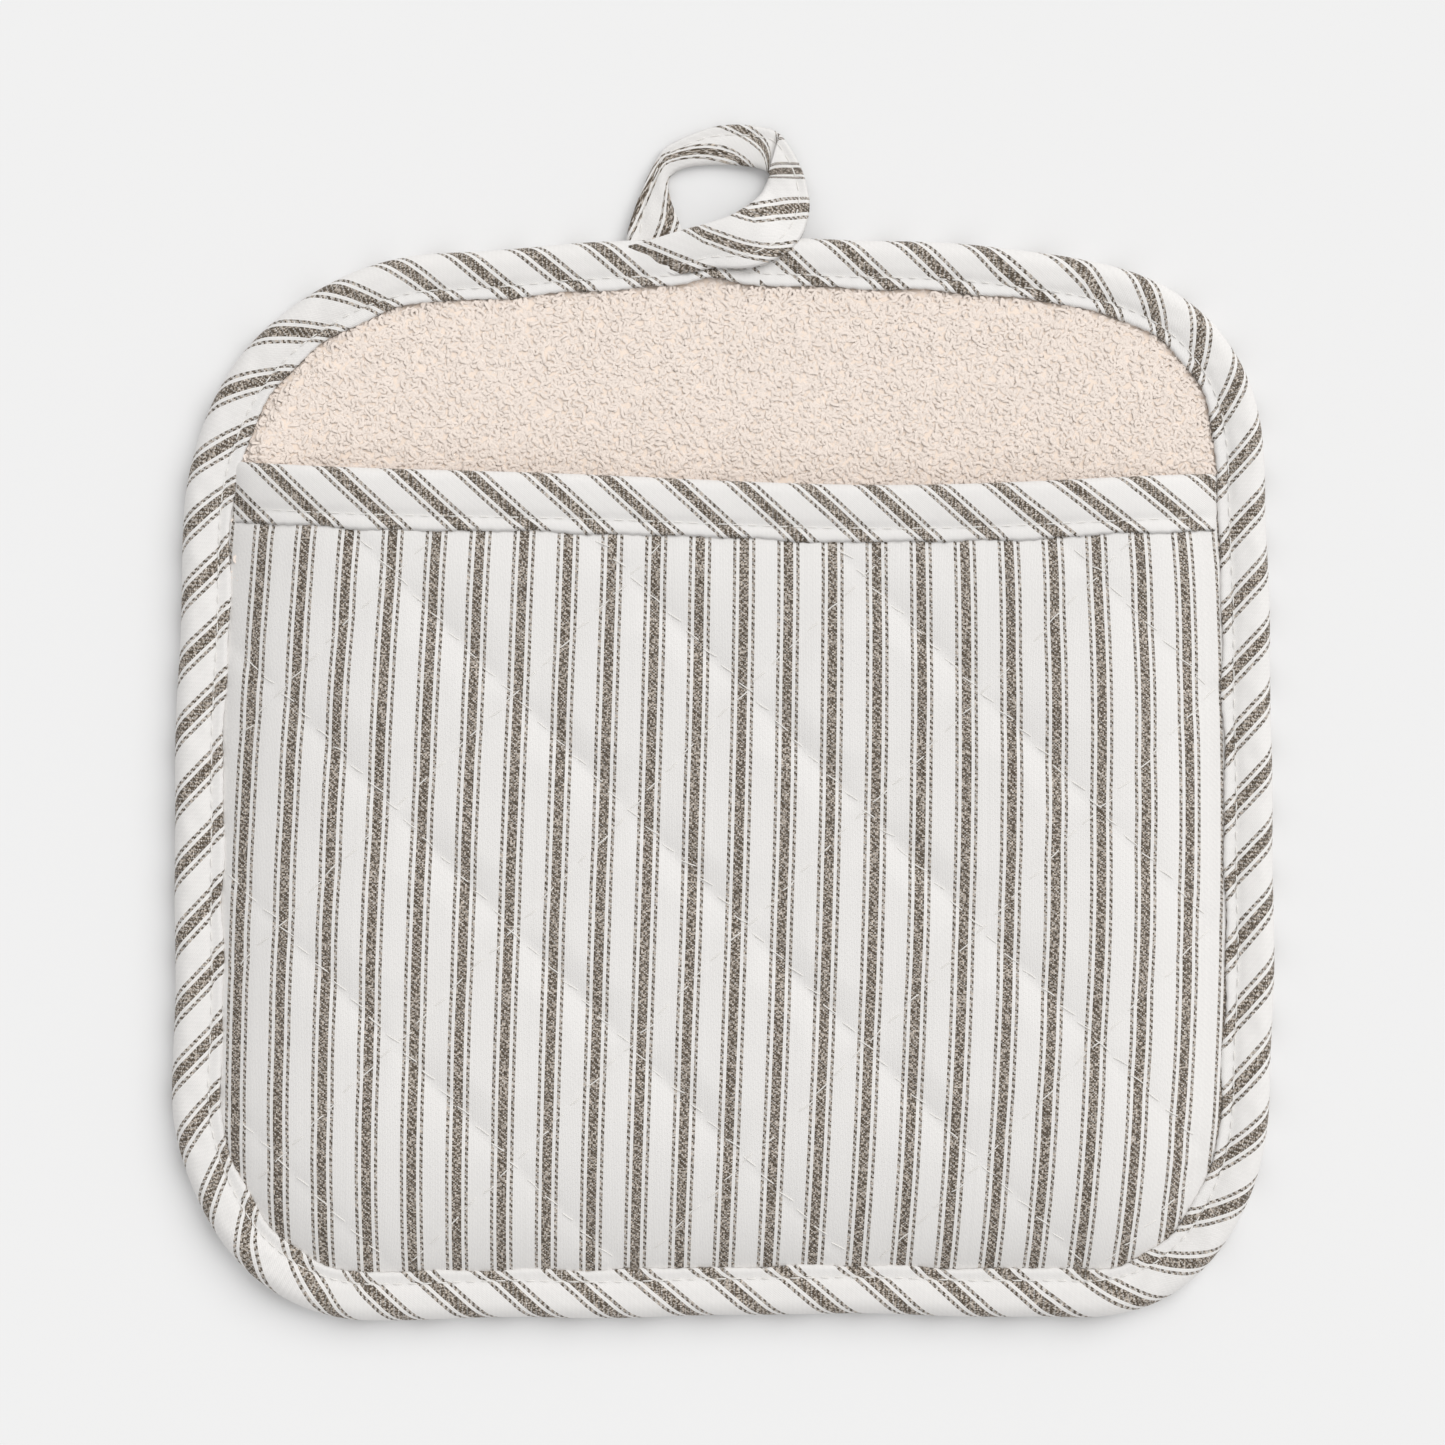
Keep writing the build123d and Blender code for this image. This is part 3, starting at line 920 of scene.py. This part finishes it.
def pocket_inside(x, y):
    return (inset_of(x, y)[0] > 9.9) & (y < mouth_line(x) - MOUTH_TAPE_WIDTH - 0.3)


# Distance along the mouth, and how many stripes of its tape lie before it
MOUTH_STRIPES = [(0, -1.05), (14.4, 0), (68, 4), (120, 8), (157, 11), (184.5, 13), (198, 14)]


def place_mouth(s, across, up):
    """Points of the mouth tape: s runs left to right, across down from the mouth's edge."""
    x = s - MOUTH_ENDS
    y = mouth_line(x) - across * (1 - 0.06 * smooth(x, -70, 0))
    inset = inset_of(x, np.minimum(y, 50.0))[0].reshape(x.shape)
    upper, lower = pocket_level(inset), lining_level(inset)
    middle = (upper + lower) / 2
    half = (upper - lower) / 2 + 0.42
    squeeze = 0.55 + 0.45 * smooth(inset, 8.5, 13.0)
    dent = bell(across - MOUTH_STITCH, 0.9) * (0.28 + 0.22 * beat(s, STITCH_PITCH))
    crown = 0.45 * arch(across / MOUTH_STITCH)
    drag = 0.12 * ripple(s + 0.8 * across, 200, (17, 23, 31, 37), 5) * arch(across / MOUTH_STITCH)
    top = smooth(up, 0.1, 0.8)
    free = smooth(inset, 9.0, 12.5)
    z = middle + up / MOUTH_GAP * half * squeeze - 0.75 * (1 - smooth(inset, 8.4, 10.4))
    z = z + top * free * (crown + drag - dent)
    z = z - smooth(-up, 0.1, 0.8) * 0.3 * crown
    edge = np.clip((across - MOUTH_STITCH) / MOUTH_STITCH_IN, 0, 1)
    y = y - edge * (0.12 * np.cos(2 * math.pi * s / STITCH_PITCH) + 0.25 * ripple(s, 200, (5, 9, 14), 8))
    return np.stack([x, y, z], -1)


def make_mouth_tape():
    stations = np.linspace(0, 2 * MOUTH_ENDS, 181)
    keep = inset_of(stations - MOUTH_ENDS, np.full(len(stations), 50.0))[0] > 6.0
    stations = stations[keep]
    section = tape_section(MOUTH_TAPE_WIDTH, MOUTH_GAP, 56)

    def cloth(s, across):
        return np.interp(s, *zip(*MOUTH_STRIPES)) * STRIPE_STEP

    return sweep_tape("mouth_tape", stations, section, place_mouth, TAPE, cloth=cloth)


def make_mouth_stitches():
    starts = np.arange(7.5, 2 * MOUTH_ENDS - 10.0, STITCH_PITCH) + 0.2
    return tape_stitches("mouth", starts, place_mouth, MOUTH_STITCH, MOUTH_GAP, rise=1.1, sunk=0.0)


def open_share(x, y):
    """How much of the pocket's opening a point follows: the sides and the bottom stay sewn."""
    across = np.clip(1 - (x / 97.0) ** 2, 0, 1) ** 0.8
    return across * smooth(y, HINGE_Y, HINGE_Y + HINGE_REACH)


def on_bend(piece, share, node):
    """Bakes a piece's transform, works out share(x, y) at its points, which says how much of a moving body
    each would follow, and hides the part's solid; the shares are not used.
    """
    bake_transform(piece)
    points = np.array([v.co for v in piece.data.vertices], float) / MM
    values = share(points[:, 0], points[:, 1]).astype(np.float32)
    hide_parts(node)


def on_pocket(piece, node):
    on_bend(piece, open_share, node)


ticking, lining, wadding = make_pocket_layers()
on_pocket(ticking, "pocket_ticking")
on_pocket(lining, "pocket_lining")
on_pocket(wadding, "pocket_batting")
starts = quilt_stitches(pocket_inside, 21)
on_pocket(stitches_on("pocket_quilt_stitches", starts, pocket_surface), "pocket_quilting_thread")
bobbin = stitches_on("pocket_quilt_bobbin_stitches", starts, lining_surface, -1.0)
on_pocket(bobbin, "pocket_quilting_bobbin")
mouth_tape = make_mouth_tape()
on_pocket(mouth_tape, "pocket_binding")
mouth_top, mouth_bottom = make_mouth_stitches()
on_pocket(mouth_top, "mouth_topstitch")
on_pocket(mouth_bottom, "mouth_topstitch_bobbin")


# ---- Back panel ----

back_sim = Lattice(16, BACK_SEAM_INSET)
back_moves = quilt_field(
    back_sim,
    back_level(back_sim.inset),
    back_sim.inset < 11.0,
    pressure=1.2,
    slack=0.012,
    cap=QUILT_PUFF,
)


def back_surface(x, y):
    """Height of the back ticking's outer face, pressed flat where it meets the table."""
    hang = back_level(inset_of(x, y)[0]) - back_sim.sample(back_moves[2], x, y) + stitch_dents(x, y)
    return BACK_FLOOR + 0.18 * np.logaddexp(0, (hang - BACK_FLOOR) / 0.18)


def batting_top(x, y):
    return 3.4 + 0.9 * smooth(inset_of(x, y)[0], 9.0, 14.0) - 0.5 * stitch_dents(x, y)


def make_back_layers():
    fine = Lattice(20, BACK_SEAM_INSET)
    low = back_surface(fine.x, fine.y)
    ticking = slab("back_ticking_cloth", fine, low + CLOTH, low, TICKING)
    coarse = Lattice(14, 3.4)
    lower = back_surface(coarse.x, coarse.y) + CLOTH + 0.05
    upper = batting_top(coarse.x, coarse.y)
    wadding = slab("back_wadding", coarse, upper, lower, WADDING)
    ground = terry_level(coarse.inset) + 0.12 + 0.05 * np.sin(coarse.x * 2.9) * np.sin(coarse.y * 3.3)
    terry = slab("terry_ground", coarse, ground, upper + 0.5, TERRY_CLOTH)
    return ticking, wadding, terry


def make_terry_loops(pieces):
    """Loops of yarn on the terry, as far under the pocket's mouth as can be seen."""
    draw = np.random.default_rng(3)
    step = 1 / math.sqrt(LOOPS_PER_MM2)
    x, y = np.meshgrid(np.arange(-102, 102, step), np.arange(26, 100, step))
    x = x.ravel() + draw.uniform(-0.5, 0.5, x.size) * step
    y = y.ravel() + draw.uniform(-0.5, 0.5, y.size) * step
    inset = inset_of(x, y)[0]
    deep = mouth_line(x) - y
    edge = np.where((np.abs(x + 2.5) < 4) & (y > 90), 7.4, 9.3)
    keep = (inset > edge) & (deep < 24) & ((deep < 4) | (draw.uniform(0, 1, x.size) < 0.4))
    x, y, inset = x[keep], y[keep], inset[keep]
    count = len(x)
    t = np.linspace(0, 1, 6)
    rise_and_fall = arch(t) ** 0.7
    turn = draw.uniform(0, 2 * math.pi, count)[:, None]
    lean_turn = turn + math.pi / 2 + draw.normal(0, 0.7, count)[:, None]
    foot = draw.normal(1.0, 0.2, count)[:, None] * (t - 0.5)
    lean = draw.normal(0.95, 0.3, count)[:, None] * rise_and_fall
    curl = draw.normal(0, 0.28, count)[:, None] * np.sin(2 * math.pi * t)
    px = x[:, None] + (foot + curl) * np.cos(turn) + lean * np.cos(lean_turn)
    py = y[:, None] + (foot + curl) * np.sin(turn) + lean * np.sin(lean_turn)
    height = np.clip(draw.normal(0.36, 0.1, count), 0.15, 0.6)[:, None]
    pz = terry_level(inset)[:, None] - 0.15 + height * rise_and_fall
    paths = np.stack([px, py, pz], -1)
    radius = draw.normal(LOOP_YARN, 0.02, count)
    order = np.argsort(x)
    made = []
    for number, part in enumerate(np.array_split(order, pieces)):
        name = f"terry_loops_{number + 1}"
        made.append(tubes(name, paths[part], radius[part], TERRY_LOOPS, sides=5, tips=0.8))
    return made


# A whole number of stitches goes round the edge. EDGE_PHASE moves the stripes along it, and they
# jog by STRIPE_JOG at the stitching
EDGE_PITCH = PERIMETER / round(PERIMETER / STITCH_PITCH)
EDGE_PHASE = 0.6
STRIPE_JOG = 0.7

# Distance round the panel, and how many stripes of the tape lie before it: it stretches at corners
EDGE_STRIPES = [(-12, -1.1), (4, 0), (47, 3), (65, 4), (106, 7), (211, 15), (300, 21), (318, 22)]
EDGE_STRIPES += [(419, 29), (460, 32), (480, 33), (602, 42), (641, 45), (687, 48), (754, 53), (774, 54.4)]


def place_edge(s, across, up):
    """Points of the edge tape: s runs clockwise, across inwards from the panel's edge."""
    point, inward = outline_at(s)
    groove = bell(across - TAPE_STITCH, 0.95)
    top = smooth(up, 0.3, 2.2)
    low = smooth(-up, 0.3, 2.2)
    drag = 0.13 * ripple(s + 0.9 * across, PERIMETER, (61, 83, 97, 131), 31)
    swell = 0.25 + 0.12 * ripple(s, PERIMETER, (11, 17, 23), 33)
    dent = groove * (0.3 + 0.25 * beat(s, EDGE_PITCH))
    z = TAPE_MIDDLE + up + top * (arch(across / TAPE_STITCH) * (swell + drag) - dent)
    z = np.maximum(z + low * groove * 0.3, 0.02 + (up + TAPE_GAP + CLOTH / 2) * 0.9 * low)
    edge = np.clip((across - TAPE_STITCH) / STITCH_IN, 0, 1)
    scallop = 0.1 * np.cos(2 * math.pi * s / EDGE_PITCH) + 0.3 * ripple(s, PERIMETER, (19, 31, 43), 35)
    wander = 0.28 * ripple(s, PERIMETER, (5, 8, 13, 21), 37)
    under_tail = np.exp(-(((point[..., 0] - 0.5) / 10.5) ** 6)) * (point[..., 1] > 0)
    z = z - 1.1 * top * under_tail * smooth(across, 7.5, 4.5)
    notch = 2.0 * bell(point[..., 0] + 2.5, 5) * (point[..., 1] > 0)
    inset = across * (1 - (notch - EDGE_OUT) / TAPE_WIDTH) - EDGE_OUT + wander + edge * scallop
    flat = point + inward * inset[..., None]
    return np.concatenate([flat, z[..., None]], -1)


def make_edge_tape():
    stations = np.linspace(0, PERIMETER, 700, endpoint=False)
    section = tape_section(TAPE_WIDTH, TAPE_GAP, 60)

    def cloth(s, across):
        jog = STRIPE_JOG * smooth(across, TAPE_STITCH - 0.25, TAPE_STITCH + 0.25)
        return np.interp(s, *zip(*EDGE_STRIPES)) * STRIPE_STEP + EDGE_PHASE - jog

    return sweep_tape("edge_tape", stations, section, place_edge, TAPE, True, cloth)


def make_edge_stitches():
    starts = np.arange(0, PERIMETER - 1, EDGE_PITCH) + 0.25
    return tape_stitches("edge", starts, place_edge, TAPE_STITCH, TAPE_GAP, lift=0.0, sunk=0.05)


def back_inside(x, y):
    return inset_of(x, y)[0] > 11.5


def back_thread_level(x, y):
    return np.maximum(back_surface(x, y), THREAD + 0.2)


def batting_thread_level(x, y):
    return batting_top(x, y) + 0.1


def on_panel(piece, node):
    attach(piece, "back_panel")
    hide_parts(node)


back_ticking, back_wadding, terry_ground = make_back_layers()
on_panel(back_ticking, "back_ticking")
on_panel(back_wadding, "back_batting")
on_panel(terry_ground, "terry_panel")
for loops in make_terry_loops(8):
    on_panel(loops, "terry_panel")
back_starts = quilt_stitches(back_inside, 22)

needle = stitches_on("back_quilt_stitches", back_starts, back_thread_level, -0.6)
on_panel(needle, "back_quilting_thread")
bobbin = stitches_on("back_quilt_bobbin_stitches", back_starts, batting_thread_level)
on_panel(bobbin, "back_quilting_bobbin")
edge_tape = make_edge_tape()
on_panel(edge_tape, "edge_binding")
edge_top, edge_bottom = make_edge_stitches()
on_panel(edge_top, "edge_topstitch")
on_panel(edge_bottom, "edge_topstitch_bobbin")


# ---- Hanging loop ----

LOOP_GAP = 0.66

# Stations along the bent tape: outer edge x, y, hole edge x, y, height of the middle, outer edge's lift
LOOP_STATIONS = [
    (-9.5, 100.4, -21.0, 105.7, 5.1, 0.5),
    (-7.0, 100.9, -15.5, 106.8, 6.2, -0.2),
    (-4.8, 101.3, -7.9, 109.1, 6.4, -0.4),
    (-2.1, 101.8, -3.0, 110.4, 6.5, -0.3),
    (5.2, 101.8, 1.9, 112.2, 6.7, 0.3),
    (11.1, 104.0, 5.2, 114.4, 5.9, 0.7),
    (15.0, 107.9, 7.4, 116.5, 4.1, 0.7),
    (16.8, 113.6, 8.5, 118.7, 2.6, 0.3),
    (16.2, 118.9, 8.9, 119.9, 1.9, 0.0),
    (14.4, 123.6, 9.1, 120.5, 1.8, -0.1),
    (11.0, 128.5, 8.9, 121.1, 2.3, -0.2),
    (7.7, 129.9, 7.2, 122.0, 1.9, -0.1),
    (1.5, 130.4, 2.6, 122.7, 1.5, 0.0),
    (-3.8, 129.5, -3.4, 122.8, 1.4, 0.0),
    (-10.5, 126.5, -8.2, 122.0, 1.4, 0.1),
    (-13.0, 124.0, -10.8, 120.0, 1.4, 0.2),
    (-16.2, 117.2, -10.6, 116.2, 1.5, 0.2),
    (-18.5, 110.4, -9.1, 111.8, 1.8, 0.1),
    (-19.1, 106.3, -7.9, 108.5, 2.2, 0.0),
    (-18.7, 103.6, -7.7, 104.6, 2.5, 0.0),
]
LOOP_CREASE = 10

# Distance along the cloth at stations, at the hole's edge and at the outer edge, in stripes: the
# cloth is on the bias, so it shears where the tape bends, and the crease takes some of it in
ACROSS_STRIPES = TAPE_WIDTH / math.tan(BIAS) / STRIPE_STEP
TAIL_INNER = [(0.0, -0.36), (1.0, 0.0), (2.7, 1.0), (4.8, 2.0), (10.0, 2.9)]
TAIL_OUTER = [(0.0, -0.36), (3.0, 0.0), (5.8, 1.0), (7.4, 2.0), (8.8, 3.0), (10.0, 3.7)]
LEG_INNER = [(10.0, 4.7), (10.3, 5.0), (12.05, 6.0), (17.0, 7.0), (19.0, 7.5)]
LEG_OUTER = [(10.0, 3.8), (10.2, 4.0), (12.4, 5.0), (17.8, 6.0), (19.0, 6.3)]


def smooth_stations(points, numbers):
    """Points on a smooth curve through stations, at station numbers."""
    points = np.array(points, float)
    ends = np.concatenate([[2 * points[0] - points[1]], points, [2 * points[-1] - points[-2]]])
    low = np.clip(np.floor(numbers).astype(int), 0, len(points) - 2)
    weights = cubic_weights(numbers - low)
    return sum(w[..., None] * ends[low + k] for k, w in enumerate(weights))


def place_loop(s, across, up):
    """Points of the loop's tape: s is a station number, across is 0 at the hole's edge."""
    row = smooth_stations(LOOP_STATIONS, s)
    share = across / TAPE_WIDTH
    x = row[..., 2] + (row[..., 0] - row[..., 2]) * share
    y = row[..., 3] + (row[..., 1] - row[..., 3]) * share
    face = np.sign(up) * smooth(np.abs(up), 0, 0.5)
    groove = bell(across - TAPE_STITCH, 0.8) * face
    crown = arch(across / TAPE_STITCH) * face
    past = s - LOOP_CREASE
    under = np.where(past > 0, bell(past, 0.35), 0) - 0.45 * bell(past, 0.25)
    drag = 0.12 * ripple(3.5 * s + 0.8 * across, 120, (13, 17, 23), 51)
    z = row[..., 4] + row[..., 5] * (share - 0.5) * 2 + up + 0.3 * crown - 0.2 * groove + drag
    return np.stack([x, y, z - under], -1)


def loop_cloth(s, across):
    """Distance along the loop's cloth at a station number."""
    share = across / TAPE_WIDTH
    tail = [np.interp(s, *zip(*table)) for table in (TAIL_INNER, TAIL_OUTER)]
    leg = [np.interp(s, *zip(*table)) for table in (LEG_INNER, LEG_OUTER)]
    inner, outer = (np.where(s < LOOP_CREASE, a, b) for a, b in zip(tail, leg))
    stripes = inner * (1 - share) + (outer + ACROSS_STRIPES) * share
    return stripes * STRIPE_STEP


def make_loop():
    tail = np.linspace(0, LOOP_CREASE - 0.01, 76)
    leg = np.linspace(LOOP_CREASE + 0.01, len(LOOP_STATIONS) - 1, 76)
    stations = np.concatenate([tail, leg])
    section = tape_section(TAPE_WIDTH, LOOP_GAP, 52)
    tape = sweep_tape("loop_tape", stations, section, place_loop, TAPE, cloth=loop_cloth)
    middle = place_loop(stations, TAPE_STITCH, 0)
    length = np.concatenate([[0], np.cumsum(np.linalg.norm(np.diff(middle, axis=0), axis=1))])
    starts = np.arange(4, length[-1] - 6, STITCH_PITCH)

    def over(s, height):
        return place_loop(np.interp(s, length, stations), TAPE_STITCH, LOOP_GAP + 0.5 * CLOTH + height)

    return tape, stitches_along("loop_stitches", starts, over)


def loop_share(x, y):
    return smooth(y, LOOP_ROOT, LOOP_FREE)


def on_loop(piece, node):
    on_bend(piece, loop_share, node)


loop_tape, loop_stitches = make_loop()
on_loop(loop_tape, "hanging_loop")
on_loop(loop_stitches, "loop_edge_stitch")


# ---- Camera, light and floor ----

# The camera looks straight down: what it sees at the height VIEW_TOP, and its lens
VIEW_WIDTH = 283.2
VIEW_X = -0.2
VIEW_Y = 12.5
VIEW_TOP = 8.0
LENS = 100.0
SENSOR = 36.0
FLOOR_REACH = 40000.0


def make_camera():
    data = bpy.data.cameras.new("camera")
    data.lens = LENS
    data.sensor_width = SENSOR
    data.clip_start = 0.01
    camera = add_object("camera", data)
    camera.location = (VIEW_X * MM, VIEW_Y * MM, (VIEW_WIDTH * LENS / SENSOR + VIEW_TOP) * MM)
    bpy.context.scene.camera = camera


def make_floor():
    points = [(x * FLOOR_REACH, y * FLOOR_REACH, -0.02) for x, y in ((-1, -1), (1, -1), (1, 1), (-1, 1))]
    make_mesh("floor", points, [[0, 1, 2, 3]], floor_material())


def make_lights():
    world = bpy.data.worlds.new("studio")
    bpy.context.scene.world = world
    world.use_nodes = True
    shade = world.node_tree.nodes["Background"]
    shade.inputs["Color"].default_value = (1, 1, 1, 1)
    shade.inputs["Strength"].default_value = 0.65
    data = bpy.data.lights.new("key", "SUN")
    data.energy = 1.62
    data.angle = math.radians(50)
    data.color = (1.0, 0.995, 0.985)
    key = add_object("key", data)
    towards = Vector((0.75, 0.75, 1.15))
    key.rotation_mode = "QUATERNION"
    key.rotation_quaternion = towards.to_track_quat("Z", "Y")


make_camera()
make_floor()
make_lights()
bpy.context.scene.view_settings.view_transform = "Standard"
